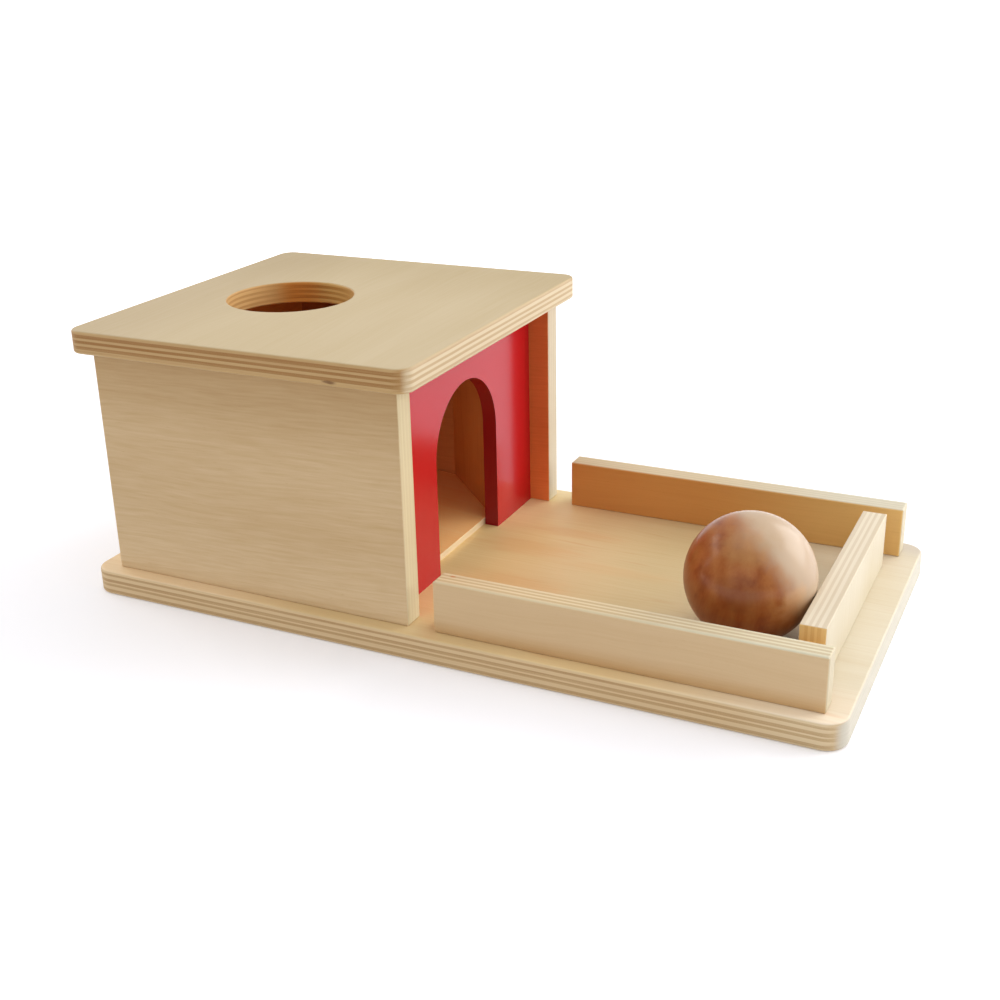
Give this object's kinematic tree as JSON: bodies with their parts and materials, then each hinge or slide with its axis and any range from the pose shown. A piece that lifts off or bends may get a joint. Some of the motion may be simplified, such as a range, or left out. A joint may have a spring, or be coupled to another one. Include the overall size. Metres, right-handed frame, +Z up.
{
  "type": "object permanence box",
  "caption": "Plywood house with a round drop hole in its roof, a red arched doorway, a sloping inner chute and an open railed tray that catches a wooden ball.",
  "frame": {"origin": "middle of the base board's underside, on the surface that the box stands on", "axes": "+X along the base from the house to the tray's end rail, +Y across the base away from the side seen in the picture, +Z up"},
  "size_m": [0.3, 0.15, 0.109],
  "materials": {
    "birch_plywood": "clear satin lacquer over sanded birch, ply lines bare on the edges",
    "red_lacquer": "sprayed red lacquer, satin gloss",
    "inner_plywood": "plain sanded birch ply, thin matt lacquer",
    "ball_wood": "turned close-grained hardwood, oiled and polished",
    "screw_steel": "yellow zinc plate",
    "dowel_wood": "plain beech"
  },
  "bodies": {
    "box": {"base_board": "birch_plywood", "near_side_wall": "birch_plywood", "far_side_wall": "birch_plywood", "rear_wall": "birch_plywood", "roof_board": "birch_plywood", "near_rail": "birch_plywood", "far_rail": "birch_plywood", "end_rail": "birch_plywood", "arch_panel": "red_lacquer", "ramp": "inner_plywood", "ramp_cleat": "inner_plywood", "near_guide": "inner_plywood", "far_guide": "inner_plywood", "side_wall_screws": "screw_steel", "rear_wall_screws": "screw_steel", "side_rail_screws": "screw_steel", "end_rail_screws": "screw_steel", "roof_dowels": "dowel_wood"},
    "ball": {"ball": "ball_wood"}
  },
  "joints": [
    {"name": "ball_roll", "type": "slide", "parent": "box", "child": "ball", "axis": [-0.9728, 0.2318, 0], "range_m": [0, 0.1207]}
  ]
}
